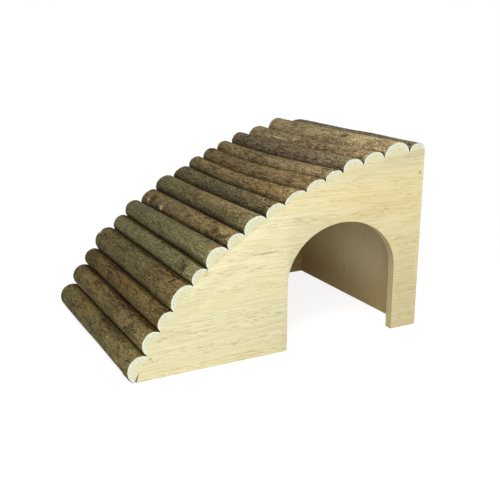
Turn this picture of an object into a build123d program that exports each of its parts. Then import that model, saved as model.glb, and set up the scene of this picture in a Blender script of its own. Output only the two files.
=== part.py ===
"""A hideaway for a hamster: two plywood side panels with a curved roof edge, an upright end
wall between them, and a roof of split branches laid side by side from the floor to the
crown. The doorway is in the front panel. Everything is fixed: nothing turns or slides.

Frame: +X runs from the foot of the roof to the closed end, +Y from the doorway side to the
rear, +Z up. The origin is on the floor, under the middle of the whole house. Millimetres.
"""

from build123d import *
from dataclasses import dataclass
from math import cos, hypot, radians, sin
import os

# ---------------------------------------------------------------- driving dimensions
panel_length = 200.0  # side panel along the floor
panel_height = 119.4  # side panel's upright edge at the closed end
house_depth = 144.0  # over both panels, which is also the length of the rods
panel_thickness = 6.0
wall_thickness = 6.0

toe_slope = 64.7  # degrees above the floor at which the roof edge starts
haunch_run = 54.0  # from the toe to where the steep stretch turns into the crown
haunch_rise = 66.6  # height of that point

door_width = 80.0
door_height = 78.0
door_spring = 43.0  # the jambs are straight up to here, then the arch begins
door_pier = 20.0  # panel that stands between the doorway and the closed end

rod_gap = 0.3  # between the flats of two neighbouring rods
rod_belly = 1.03  # a rod is this much thicker half-way along than its ends suggest
rod_spans = 6  # straight stretches that a rod's bark side is lofted in, end to end

brad_length = 20.0
brad_diameter = 1.2
brad_head_diameter = 2.0
brad_head_thickness = 0.6
brad_point = 2.4  # length of the tapered tip
brad_clearance = 0.05  # all round the shank and the head
brad_margin = 15.0  # from the lowest brad to the floor, and from the highest to the roof


@dataclass(frozen=True)
class SplitRod:
    """Half of a branch, sawn to length: its size at the doorway side and at the rear.

    A crooked branch also bows: half-way along, its edge on the crown side lies that much
    nearer to the foot of the roof, and the next rod follows it.
    """

    front_width: float
    rear_width: float
    front_height: float
    rear_height: float
    crown_edge_bow: float = 0.0


# From the foot of the roof to the closed end. The widths are the rods' shares of the roof
# edge: the row is spread so that it just fills it.
rods = [
    SplitRod(17.5, 17.5, 8.1, 9.0),
    SplitRod(15.5, 16.0, 7.1, 7.6),
    SplitRod(13.5, 13.5, 5.6, 6.8),
    SplitRod(18.5, 18.5, 6.6, 8.6),
    SplitRod(12.5, 13.0, 5.0, 5.4),
    SplitRod(16.5, 14.5, 7.2, 7.2),
    SplitRod(13.0, 14.5, 5.4, 4.2),
    SplitRod(16.5, 16.0, 6.1, 6.1, 0.7),
    SplitRod(14.0, 14.5, 5.2, 3.9, 1.8),
    SplitRod(16.0, 12.5, 4.3, 5.4, 3.6),
    SplitRod(14.5, 12.5, 4.4, 5.8, 3.6),
    SplitRod(13.0, 13.0, 4.3, 6.4, 2.9),
    SplitRod(15.5, 15.0, 6.7, 8.0, 2.5),
    SplitRod(16.0, 17.5, 6.0, 7.6, 3.5),
    SplitRod(19.5, 17.5, 7.8, 10.0),
    SplitRod(12.5, 18.0, 4.9, 5.8),
]

# ---------------------------------------------------------------- roof edge
# The curve is laid out with the toe of the panels at (0, 0): X along the floor, Y up.
with BuildLine() as roof_edge:
    haunch_arc = TangentArc(
        (0, 0), (haunch_run, haunch_rise), tangent=(cos(radians(toe_slope)), sin(radians(toe_slope)))
    )
    TangentArc(haunch_arc @ 1, (panel_length, panel_height), tangent=haunch_arc % 1)
roof_curve = roof_edge.wire()
roof_length = roof_curve.length


def joints_between(widths: list[float]) -> list[float]:
    """Places along the roof edge of the joints between rods, ends included."""
    spread = roof_length / sum(widths)
    return [spread * sum(widths[:count]) for count in range(len(widths) + 1)]


front_joints = joints_between([rod.front_width for rod in rods])
rear_joints = joints_between([rod.rear_width for rod in rods])
middle_joints = [(front + rear) / 2 for front, rear in zip(front_joints, rear_joints)]

# The panels' edge is planed into one flat seat for each rod, between these points.
seat_corners = [roof_curve @ (joint / roof_length) for joint in middle_joints]

# The foot rod bulges out past the toe, and the house is centred over its full length.
foot_run = (seat_corners[1] - seat_corners[0]).X / 2
foot_rise = (seat_corners[1] - seat_corners[0]).normalized().Y * max(rods[0].front_height, rods[0].rear_height)
foot_bulge = hypot(foot_run, foot_rise) - foot_run
toe_x = foot_bulge / 2 - panel_length / 2
closed_end_x = toe_x + panel_length

front_y = -house_depth / 2
rear_y = house_depth / 2
wall_depth = house_depth - 2 * panel_thickness


def upright_plane(y: float) -> Plane:
    """The plane across the house at y, facing the doorway side, with its origin at the toe."""
    return Plane(origin=(toe_x, y, 0), x_dir=(1, 0, 0), z_dir=(0, -1, 0))


# A side panel's face: the row of rod seats, the upright edge and the floor edge.
with BuildSketch() as panel_outline:
    with BuildLine():
        Polyline(*seat_corners, (panel_length, 0), close=True)
    make_face()


def brad_planes(y: float, facing: float) -> list[Plane]:
    """Where the brads enter a face at y that looks along +Y or -Y (facing 1 or -1)."""
    x = closed_end_x - wall_thickness / 2
    top = panel_height - brad_margin
    heights = (brad_margin, (brad_margin + top) / 2, top)
    return [Plane(origin=(x, y, z), x_dir=(1, 0, 0), z_dir=(0, facing, 0)) for z in heights]


brad_hole_radius = brad_diameter / 2 + brad_clearance
brad_head_seat_radius = brad_head_diameter / 2 + brad_clearance

# ---------------------------------------------------------------- front panel
with BuildPart() as front_panel:
    with BuildSketch(upright_plane(front_y)):
        add(panel_outline.sketch)
        door_x = panel_length - door_pier - door_width / 2
        with BuildLine():
            left_jamb = Line((door_x - door_width / 2, 0), (door_x - door_width / 2, door_spring))
            EllipticalCenterArc(
                (door_x, door_spring),
                x_radius=door_width / 2,
                y_radius=door_height - door_spring,
                start_angle=0,
                arc_size=180,
            )
            Line((door_x + door_width / 2, door_spring), (door_x + door_width / 2, 0))
            Line((door_x + door_width / 2, 0), left_jamb @ 0)
        make_face(mode=Mode.SUBTRACT)
    extrude(amount=-panel_thickness)
    with Locations(*brad_planes(front_y, -1)):
        CounterBoreHole(brad_hole_radius, brad_head_seat_radius, brad_head_thickness, panel_thickness)
front_panel.part.label = "front_panel"

# ---------------------------------------------------------------- rear panel
with BuildPart() as rear_panel:
    with BuildSketch(upright_plane(rear_y)):
        add(panel_outline.sketch)
    extrude(amount=panel_thickness)
    with Locations(*brad_planes(rear_y, 1)):
        CounterBoreHole(brad_hole_radius, brad_head_seat_radius, brad_head_thickness, panel_thickness)
rear_panel.part.label = "rear_panel"

# ---------------------------------------------------------------- end wall
with BuildPart() as end_wall:
    with BuildSketch(upright_plane(front_y + panel_thickness)):
        add(panel_outline.sketch)
        with Locations((panel_length - wall_thickness / 2, panel_height / 2)):
            Rectangle(wall_thickness, panel_height, mode=Mode.INTERSECT)
    extrude(amount=-wall_depth)
    pilot_depth = brad_length - panel_thickness + brad_clearance
    with Locations(
        *brad_planes(front_y + panel_thickness, -1), *brad_planes(rear_y - panel_thickness, 1)
    ):
        Hole(radius=brad_hole_radius, depth=pilot_depth)
end_wall.part.label = "end_wall"

# ---------------------------------------------------------------- brads
with BuildPart() as brad:
    # Profile from the axis out, head at the top, turned about Z.
    with BuildSketch(Plane.XZ):
        with BuildLine():
            Polyline(
                (0, 0),
                (brad_head_diameter / 2, 0),
                (brad_head_diameter / 2, -brad_head_thickness),
                (brad_diameter / 2, -brad_head_thickness),
                (brad_diameter / 2, brad_point - brad_length),
                (0, -brad_length),
                close=True,
            )
        make_face()
    revolve(axis=Axis.Z)

with BuildPart() as wall_brads_front:
    with Locations(*brad_planes(front_y, -1)):
        add(brad.part)
wall_brads_front.part.label = "wall_brads_front"

with BuildPart() as wall_brads_rear:
    with Locations(*brad_planes(rear_y, 1)):
        add(brad.part)
wall_brads_rear.part.label = "wall_brads_rear"


# ---------------------------------------------------------------- split rods
def rod_section(index: int, along: float) -> Sketch:
    """Half-round section of one rod, flat on its seat, at 0 (front) to 1 (rear) along it."""
    corner = seat_corners[index]
    seat = seat_corners[index + 1] - corner
    seat_direction = seat.normalized()
    slope = Vector(1, 0).get_signed_angle(seat_direction, Vector(0, 0, 1))

    mid_length_share = 4 * along * (1 - along)  # 0 at both ends, 1 half-way along

    def joint_shift(joint: int) -> float:
        """How far a joint between rods has wandered from its corner of the seats."""
        straight = front_joints[joint] + along * (rear_joints[joint] - front_joints[joint])
        bow = rods[joint - 1].crown_edge_bow if joint > 0 else 0
        return straight - bow * mid_length_share - middle_joints[joint]

    start = joint_shift(index) + (rod_gap / 2 if index > 0 else 0)
    end = seat.length + joint_shift(index + 1) - (rod_gap / 2 if index < len(rods) - 1 else 0)
    rod = rods[index]
    height = rod.front_height + along * (rod.rear_height - rod.front_height)
    height *= 1 + (rod_belly - 1) * mid_length_share
    with BuildSketch() as section:
        with BuildLine():
            Line(corner + seat_direction * start, corner + seat_direction * end)
            EllipticalCenterArc(
                corner + seat_direction * (start + end) / 2,
                x_radius=(end - start) / 2,
                y_radius=height,
                start_angle=0,
                arc_size=180,
                rotation=slope,
            )
        make_face()
    return section.sketch


def split_rod(index: int) -> Part:
    """One rod of the roof, through evenly spaced sections from the doorway side to the rear."""
    with BuildPart() as rod:
        for along in [station / rod_spans for station in range(rod_spans + 1)]:
            with BuildSketch(upright_plane(front_y + along * house_depth)):
                add(rod_section(index, along))
        loft(ruled=True)
    rod.part.label = f"rod_{index + 1:02d}"
    return rod.part


# ---------------------------------------------------------------- one file for each piece
os.makedirs("parts", exist_ok=True)
pieces = [front_panel.part, rear_panel.part, end_wall.part, wall_brads_front.part, wall_brads_rear.part]
pieces += [split_rod(index) for index in range(len(rods))]
for piece in pieces:
    export_step(piece, f"parts/{piece.label}.step")
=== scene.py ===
"""Looks of the wooden hamster house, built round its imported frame.

The frame's own coordinates hold throughout: +X from the foot of the roof to the closed end,
+Y from the doorway side to the rear, +Z up from the floor. Lengths are metres, and a name
that ends in _mm holds millimetres. Finishes work in millimetres of the same frame.
"""

import logging
from dataclasses import dataclass
from enum import Enum, IntEnum
from functools import cached_property
from itertools import product
from math import pi, radians

import bmesh
import bpy
import numpy as np
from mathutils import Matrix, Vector

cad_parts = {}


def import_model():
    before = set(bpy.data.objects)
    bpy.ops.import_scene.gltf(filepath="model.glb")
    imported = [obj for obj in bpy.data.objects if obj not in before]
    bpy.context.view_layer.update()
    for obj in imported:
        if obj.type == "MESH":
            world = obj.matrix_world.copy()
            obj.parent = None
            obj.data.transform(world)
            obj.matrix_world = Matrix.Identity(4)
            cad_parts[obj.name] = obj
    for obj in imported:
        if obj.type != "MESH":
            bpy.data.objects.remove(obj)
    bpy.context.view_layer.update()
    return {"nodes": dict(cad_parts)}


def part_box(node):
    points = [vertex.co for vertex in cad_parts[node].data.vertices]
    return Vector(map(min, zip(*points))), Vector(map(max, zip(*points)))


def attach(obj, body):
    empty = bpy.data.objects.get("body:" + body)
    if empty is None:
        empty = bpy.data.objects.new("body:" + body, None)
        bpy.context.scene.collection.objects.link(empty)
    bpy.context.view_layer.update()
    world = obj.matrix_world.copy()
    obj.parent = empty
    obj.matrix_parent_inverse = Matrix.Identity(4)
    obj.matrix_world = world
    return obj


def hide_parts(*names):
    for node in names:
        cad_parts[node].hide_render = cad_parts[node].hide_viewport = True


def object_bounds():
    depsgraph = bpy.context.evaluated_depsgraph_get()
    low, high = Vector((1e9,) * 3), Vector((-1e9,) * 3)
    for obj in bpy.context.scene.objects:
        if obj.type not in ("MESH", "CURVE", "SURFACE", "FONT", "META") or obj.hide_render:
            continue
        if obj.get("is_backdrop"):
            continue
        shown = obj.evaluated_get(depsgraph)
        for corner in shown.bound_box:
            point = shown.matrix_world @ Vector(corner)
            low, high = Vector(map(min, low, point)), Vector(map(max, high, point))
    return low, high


log = logging.getLogger("hamster_house")

Colour = tuple[float, float, float, float]
Triple = tuple[float, float, float]
Material = bpy.types.Material
Mesh = bpy.types.Mesh
Piece = bpy.types.Object
Socket = bpy.types.NodeSocket
Paint = Socket | Colour
Profile = list[tuple[float, float]]

MM = 0.001
BODY = "root"


# ---------------------------------------------------------------- shared helpers
def colour(red: int, green: int, blue: int) -> Colour:
    """A colour as shaders take it.

    Args:
        red: Display value from 0 to 255.
        green: Display value from 0 to 255.
        blue: Display value from 0 to 255.

    Returns:
        Linear red, green, blue and full alpha.
    """
    shares = [value / 255 for value in (red, green, blue)]
    linear = [s / 12.92 if s <= 0.04045 else ((s + 0.055) / 1.055) ** 2.4 for s in shares]
    return (*linear, 1.0)


@dataclass(frozen=True)
class Relief:
    """Repeatable soft noise that shapes natural surfaces."""

    seed: int

    def cell_values(self, cells: np.ndarray) -> np.ndarray:
        """Mixes the numbers of a lattice's cells into values that look random.

        Args:
            cells: Whole numbers, three for each cell in the last axis.

        Returns:
            A value from -1 to 1 for each cell.
        """
        mixed = (cells & 0xFFFF) @ np.array([73856093, 19349663, 83492791])
        mixed = (mixed + self.seed * 40503) & 0xFFFFFFFF
        for shift, factor in ((15, 73244475), (13, 19349669), (16, 83492791)):
            mixed = ((mixed ^ mixed >> shift) * factor) & 0xFFFFFFFF
        return mixed / 0x7FFFFFFF - 1.0

    def soft(self, points: np.ndarray) -> np.ndarray:
        """Smooth noise.

        Args:
            points: Places in cells of the lattice, three numbers each in the last axis.

        Returns:
            A value from -1 to 1 for each place.
        """
        low = np.floor(points)
        step = smooth_step(points - low)
        total = np.zeros(points.shape[:-1])
        for corner in product((0, 1), repeat=3):
            share = np.prod(np.where(corner, step, 1 - step), axis=-1)
            total += share * self.cell_values(low.astype(np.int64) + corner)
        return total

    def rough(self, points: np.ndarray, layers: int = 3) -> np.ndarray:
        """Layers of soft noise, each twice as fine and half as strong as the last."""
        total = sum(self.soft(points * 2**k + 17.3 * k) / 2**k for k in range(layers))
        return total / (2 - 0.5 ** (layers - 1))


def smooth_step(values: np.ndarray) -> np.ndarray:
    """A smooth rise from 0 to 1, flat below 0 and above 1."""
    clipped = np.clip(values, 0, 1)
    return clipped * clipped * (3 - 2 * clipped)


class NodeGraph:
    """A node tree of a material or the world, put together from short calls.

    What goes into a call is a socket or a plain value.
    """

    def __init__(self, owner: Material | bpy.types.World) -> None:
        """Empties the owner's node tree.

        Args:
            owner: The material or world whose nodes are built.
        """
        owner.use_nodes = True
        self.tree = owner.node_tree
        self.tree.nodes.clear()

    def add(self, kind: str, feeds: dict | None = None, **settings: object) -> bpy.types.Node:
        """Adds one node.

        Args:
            kind: The node type's name after ShaderNode.
            feeds: What goes into its inputs, by name or number.
            settings: The node's own properties.

        Returns:
            The node.
        """
        node = self.tree.nodes.new(f"ShaderNode{kind}")
        for name, value in settings.items():
            setattr(node, name, value)
        for name, value in (feeds or {}).items():
            if isinstance(value, Socket):
                self.tree.links.new(value, node.inputs[name])
            else:
                node.inputs[name].default_value = value
        return node

    def coordinates(self) -> Socket:
        """Places in the frame's coordinates, in metres."""
        return self.add("TexCoord").outputs["Object"]

    @cached_property
    def place(self) -> Socket:
        """Places in the frame's coordinates, in millimetres."""
        return self.stretched(self.coordinates(), (1 / MM, 1 / MM, 1 / MM))

    def stretched(self, place: Socket, scale: Triple, turn_deg: Triple = (0, 0, 0)) -> Socket:
        """Coordinates scaled along each axis after a turn."""
        turned = self.add("Mapping", {"Vector": place, "Rotation": [radians(t) for t in turn_deg]})
        return self.add("Mapping", {"Vector": turned.outputs[0], "Scale": scale}).outputs[0]

    def noise(self, place: Socket, scale: float, detail: float = 2, distortion: float = 0) -> Socket:
        """Noise from 0 to 1 with that many cells to each unit of its coordinates."""
        feeds = {"Vector": place, "Scale": scale, "Detail": detail, "Distortion": distortion}
        return self.add("TexNoise", feeds).outputs["Fac"]

    def drawn_out(self, stretch: Triple, scale: float, detail: float, distortion: float = 0) -> Socket:
        """Noise in the frame's millimetres, drawn out along each axis with a stretch under 1."""
        return self.noise(self.stretched(self.place, stretch), scale, detail, distortion)

    def math(self, rule: str, *values: Socket | float) -> Socket:
        """The result of one Math node."""
        return self.add("Math", dict(enumerate(values)), operation=rule).outputs[0]

    def vector(self, rule: str, *values: object) -> Socket:
        """The result of one Vector Math node."""
        return self.add("VectorMath", dict(enumerate(values)), operation=rule).outputs["Vector"]

    def length(self, offset: Socket) -> Socket:
        """How long an offset is."""
        return self.add("VectorMath", {0: offset}, operation="LENGTH").outputs["Value"]

    def parts(self, place: Socket) -> tuple[Socket, ...]:
        """The X, Y and Z of a vector."""
        return tuple(self.add("SeparateXYZ", {0: place}).outputs)

    def swing(self, noise: Socket, reach: float) -> Socket:
        """Noise from 0 to 1 as a push to either side, that far from end to end."""
        return self.math("MULTIPLY", self.math("SUBTRACT", noise, 0.5), reach)

    def times(self, base: Socket, factors: Socket | Triple) -> Socket:
        """A colour multiplied by a factor for each channel."""
        return self.vector("MULTIPLY", base, factors)

    def fade(self, value: Socket, low: float, high: float, first: float = 0, last: float = 1) -> Socket:
        """A smooth step of a value: first at low and beyond it, last at high and beyond it."""
        feeds = {"Value": value, 1: low, 2: high, 3: first, 4: last}
        return self.add("MapRange", feeds, interpolation_type="SMOOTHSTEP").outputs[0]

    def blend(self, share: Socket, under: Paint, over: Paint) -> Socket:
        """Two colours mixed, the second one by its share from 0 to 1."""
        return self.add("Mix", {0: share, 6: under, 7: over}, data_type="RGBA").outputs[2]

    def wash(
        self, under: Paint, over: Paint, value: Socket, low: float, high: float, strength: float = 1
    ) -> Socket:
        """A colour washed over with another as a value goes from low to high."""
        return self.blend(self.fade(value, low, high, 0, strength), under, over)

    def attribute(self, name: str) -> Socket:
        """A number that the mesh holds at each vertex."""
        return self.add("Attribute", attribute_name=name).outputs["Fac"]

    def vector_attribute(self, name: str) -> Socket:
        """Three numbers that the mesh holds at each vertex."""
        return self.add("Attribute", attribute_name=name).outputs["Vector"]

    def mixed_shader(self, share: Socket, under: Socket, over: Socket) -> Socket:
        """Two shaders mixed, the second one by its share from 0 to 1."""
        return self.add("MixShader", {0: share, 1: under, 2: over}).outputs[0]

    def surface(
        self,
        base: Socket,
        roughness: Socket | float,
        height: Socket,
        depth_mm: float,
        **fixed: float,
    ) -> None:
        """Ends the tree in a shader with bump.

        Args:
            base: The colour.
            roughness: The roughness.
            height: What the bump follows, from 0 to 1.
            depth_mm: Depth of the bump over that range.
            fixed: Further shader values by socket name, with _ for a space.
        """
        bump = self.add("Bump", {"Height": height, "Distance": depth_mm * MM, "Strength": 1.0})
        feeds = {"Base Color": base, "Roughness": roughness, "Normal": bump.outputs[0]}
        feeds |= {name.replace("_", " "): value for name, value in fixed.items()}
        shader = self.add("BsdfPrincipled", feeds)
        self.add("OutputMaterial", {"Surface": shader.outputs[0]})


def new_piece(name: str, mesh: Mesh, materials: list[Material], slot: str, *nodes: str) -> Piece:
    """Puts a finished mesh into the scene as a piece of the house.

    Args:
        name: The piece's name.
        mesh: Its mesh, in the frame's coordinates.
        materials: Its finishes, in the order of the mesh's material numbers.
        slot: A material slot's name; not used.
        nodes: The CAD nodes that it stands for.

    Returns:
        The piece.
    """
    piece = bpy.data.objects.new(name, mesh)
    bpy.context.scene.collection.objects.link(piece)
    for material in materials:
        mesh.materials.append(material)
    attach(piece, BODY)
    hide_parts(*nodes)
    stands_for = ", ".join(nodes) or "nothing"
    log.info("%s: %d faces, stands for %s", name, len(mesh.polygons), stands_for)
    return piece


# ---------------------------------------------------------------- finishes
class BarkKind(Enum):
    """The barks of the roof, by the record's material slot."""

    BROWN = "bark_brown"
    OLIVE = "bark_olive"
    GREY = "bark_grey"
    TAN = "bark_tan"


@dataclass(frozen=True)
class Bark:
    """Dry bark of a thin branch, fissured along its length.

    The mottle says how strongly its hues differ, and the bloom's share how much of it is overgrown.
    """

    name: str
    kind: BarkKind
    ground: Colour
    shade: Colour
    worn: Colour
    bloom: Colour
    bloom_share: float = 0.3
    mottle: float = 0.75
    roughness: float = 0.8
    fleck_gain: Triple = (1.5, 1.55, 1.75)
    fleck_loss: Triple = (-0.7, -0.74, -0.8)
    # Partly the bark's own dark furrows, partly painted shade in them.
    pit: Colour = colour(34, 27, 15)
    bare_wood: Colour = colour(196, 178, 134)
    splinter: Colour = colour(156, 126, 84)
    knot_ring: Colour = colour(64, 42, 22)
    # Near-black painted shade in cracks and knot pits.
    painted_crack_shade: Colour = colour(20, 15, 8)
    bump_mm: float = 0.34
    gloss: float = 0.12

    def weathered(self, graph: NodeGraph, streaks: Socket, relief: Socket) -> Socket:
        """The bark's own hues.

        Args:
            graph: The material's nodes.
            streaks: Noise drawn out along the rod.
            relief: How high the bark stands, from -1 in a fissure to 1 on a plate.

        Returns:
            A drifting ground with patches of bloom, worn plates and shaded streaks.
        """
        drift = graph.drawn_out((1, 0.4, 1), 0.09, 3)
        base = graph.wash(self.shade, self.ground, drift, 0.36, 0.64)
        patches = graph.drawn_out((1, 0.5, 1), 0.26, 4, 0.6)
        patches_from = 0.62 - 0.5 * self.bloom_share
        base = graph.wash(base, self.bloom, patches, patches_from, patches_from + 0.1, self.mottle)
        base = graph.wash(base, self.worn, streaks, 0.48, 0.66, 0.7 * self.mottle)
        base = graph.wash(base, self.shade, streaks, 0.5, 0.32, 0.9 * self.mottle)
        return graph.wash(base, self.worn, relief, 0.1, 0.75, 0.55 * self.mottle)

    def flecked(self, graph: NodeGraph, base: Socket) -> Socket:
        """Strews fine flecks, the light ones thicker in places, and thicker towards the doorway side as
        painted light.

        Args:
            graph: The material's nodes.
            base: The bark's hue.

        Returns:
            The flecked hue.
        """
        specks = graph.drawn_out((1, 0.42, 1), 1.7, 2)
        thick = graph.fade(graph.noise(graph.place, 0.15, 2), 0.4, 0.6, 0.3, 0.7)
        # Painted light: light flecks thicker towards the doorway side.
        front_lit_flecks = graph.fade(graph.parts(graph.place)[1], -20, -72, 0, 0.3)
        thick = graph.math("ADD", thick, front_lit_flecks)
        light = graph.math("MULTIPLY", graph.fade(specks, 0.52, 0.7), thick)
        dark = graph.fade(specks, 0.46, 0.32)
        for share, change in ((light, self.fleck_gain), (dark, self.fleck_loss)):
            base = graph.times(base, graph.vector("MULTIPLY_ADD", share, change, (1, 1, 1)))
        return base

    def marked(self, graph: NodeGraph, base: Socket) -> Socket:
        """Shows knots, bare wood and cracks where the rod's mesh says they are.

        Args:
            graph: The material's nodes.
            base: The bark's hue.

        Returns:
            The hue with the marks on it.
        """
        knot = graph.math("MULTIPLY", graph.attribute("knot"), 0.85)
        base = graph.blend(knot, base, self.knot_ring)
        splinters = graph.drawn_out((2.2, 0.12, 2.2), 1.0, 3)
        wood = graph.wash(self.bare_wood, self.splinter, splinters, 0.35, 0.7)
        base = graph.wash(base, wood, graph.attribute("bare"), 0.25, 0.6)
        # Painted shade, near black, in cracks and knot pits.
        return graph.wash(base, self.painted_crack_shade, graph.attribute("painted_crack_shade"), 0.2, 0.7, 0.95)

    def material(self) -> Material:
        """The bark's material.

        Returns:
            A material that also reads how worn, bare, knotty or cracked each vertex of a rod is,
            and its tone, which carries painted light and painted shade.
        """
        made = bpy.data.materials.new(self.name)
        graph = NodeGraph(made)
        streaks = graph.drawn_out((1, 0.16, 1), 0.9, 5, 0.4)
        relief = graph.attribute("relief")
        base = self.weathered(graph, streaks, relief)
        base = self.flecked(graph, base)
        # Darker in the fissures: partly the bark's own dark furrows, partly painted shade.
        base = graph.wash(base, self.pit, relief, 0.0, -0.9, 0.66 * self.mottle)
        fine = graph.noise(graph.place, 3.2, 1)
        base = graph.times(base, graph.fade(fine, 0.32, 0.68, 0.8, 1.22))
        # The tone holds the rod's own tint and stains together with painted light and painted shade.
        base = graph.times(base, graph.vector_attribute("tone_and_painted_light"))
        base = self.marked(graph, base)
        rough = graph.noise(graph.place, 1.6, 6)
        height = graph.math("ADD", graph.math("MULTIPLY", streaks, 0.6), rough)
        graph.surface(base, self.roughness, height, self.bump_mm, Specular_IOR_Level=self.gloss)
        return made


@dataclass(frozen=True)
class EndGrain:
    """Sawn end of a branch, with the pith on the flat side."""

    heart: Colour = colour(230, 221, 176)
    sap: Colour = colour(223, 227, 203)
    ray: Colour = colour(180, 184, 146)
    rim: Colour = colour(240, 241, 226)
    bast: Colour = colour(176, 160, 112)
    ring_turn_per_mm: float = 4.4
    ring_bend: float = 7
    ray_turns: float = 3.4
    ray_reach_per_mm: float = 0.14

    def rings(self, graph: NodeGraph, radius: Socket, blotch: Socket) -> Socket:
        """Year rings round the pith.

        Args:
            graph: The material's nodes.
            radius: How far each place is from the pith, in millimetres.
            blotch: Soft noise that bends the rings.

        Returns:
            A wave from -1 to 1.
        """
        turn = graph.math("MULTIPLY", radius, self.ring_turn_per_mm)
        bend = graph.math("MULTIPLY", blotch, self.ring_bend)
        return graph.math("SINE", graph.math("ADD", turn, bend))

    def rays(self, graph: NodeGraph, offset: Socket, radius: Socket) -> Socket:
        """Noise drawn out from the pith to the bark.

        Args:
            graph: The material's nodes.
            offset: Each place's offset from the pith, in millimetres.
            radius: The length of that offset.

        Returns:
            Noise from 0 to 1.
        """
        aside, above, _ = graph.parts(offset)
        turn = graph.math("MULTIPLY", graph.math("ARCTAN2", above, aside), self.ray_turns)
        reach = graph.math("MULTIPLY", radius, self.ray_reach_per_mm)
        return graph.noise(graph.add("CombineXYZ", {0: turn, 1: reach}).outputs[0], 3.4, 4)

    def material(self) -> Material:
        """The material of the cut ends.

        Returns:
            A material that follows the rod's girth and the place's offset from the pith.
        """
        made = bpy.data.materials.new("rod_end_grain")
        graph = NodeGraph(made)
        girth = graph.attribute("girth")
        offset = graph.vector_attribute("from_pith")
        radius = graph.length(offset)
        blotch = graph.noise(graph.place, 0.4, 3)
        ripe = graph.math("ADD", girth, graph.swing(blotch, 0.8))
        base = graph.wash(self.heart, self.sap, ripe, 0.28, 0.86)
        base = graph.wash(base, self.ray, self.rings(graph, radius, blotch), 0.3, 1.0, 0.42)
        rays = self.rays(graph, offset, radius)
        base = graph.wash(base, self.ray, rays, 0.52, 0.7, 0.75)
        base = graph.wash(base, self.rim, rays, 0.48, 0.3, 0.7)
        base = graph.wash(base, self.rim, girth, 0.84, 0.93, 0.6)
        base = graph.wash(base, self.bast, girth, 0.968, 0.995, 0.75)
        height = graph.math("ADD", rays, graph.noise(graph.place, 3.5, 3))
        graph.surface(base, 0.75, height, 0.06, Specular_IOR_Level=0.25)
        return made


@dataclass(frozen=True)
class SplitFace:
    """The flat side of a rod, sawn down the middle of the branch."""

    wood: Colour = colour(236, 221, 182)
    streak: Colour = colour(208, 184, 138)
    patch: Colour = colour(218, 194, 150)

    def material(self) -> Material:
        """The material of the flats.

        Returns:
            A material with long grain and saw marks across it.
        """
        made = bpy.data.materials.new("rod_split_face")
        graph = NodeGraph(made)
        grain = graph.drawn_out((1, 0.06, 1), 1.1, 4, 0.3)
        base = graph.wash(self.wood, self.streak, grain, 0.4, 0.68)
        base = graph.wash(base, self.patch, graph.noise(graph.place, 0.05, 2), 0.45, 0.7, 0.5)
        saw = graph.drawn_out((0.2, 1.3, 0.2), 1.4, 2)
        height = graph.math("ADD", graph.math("MULTIPLY", saw, 0.6), grain)
        graph.surface(base, 0.8, height, 0.14, Specular_IOR_Level=0.25)
        return made


class GrainRun(Enum):
    """Which way the face veneer of a board runs: how its grain is stretched along X, Y, Z."""

    LEVEL = (0.024, 1.0, 1.0)
    UPRIGHT = (1.0, 1.0, 0.04)


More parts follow.
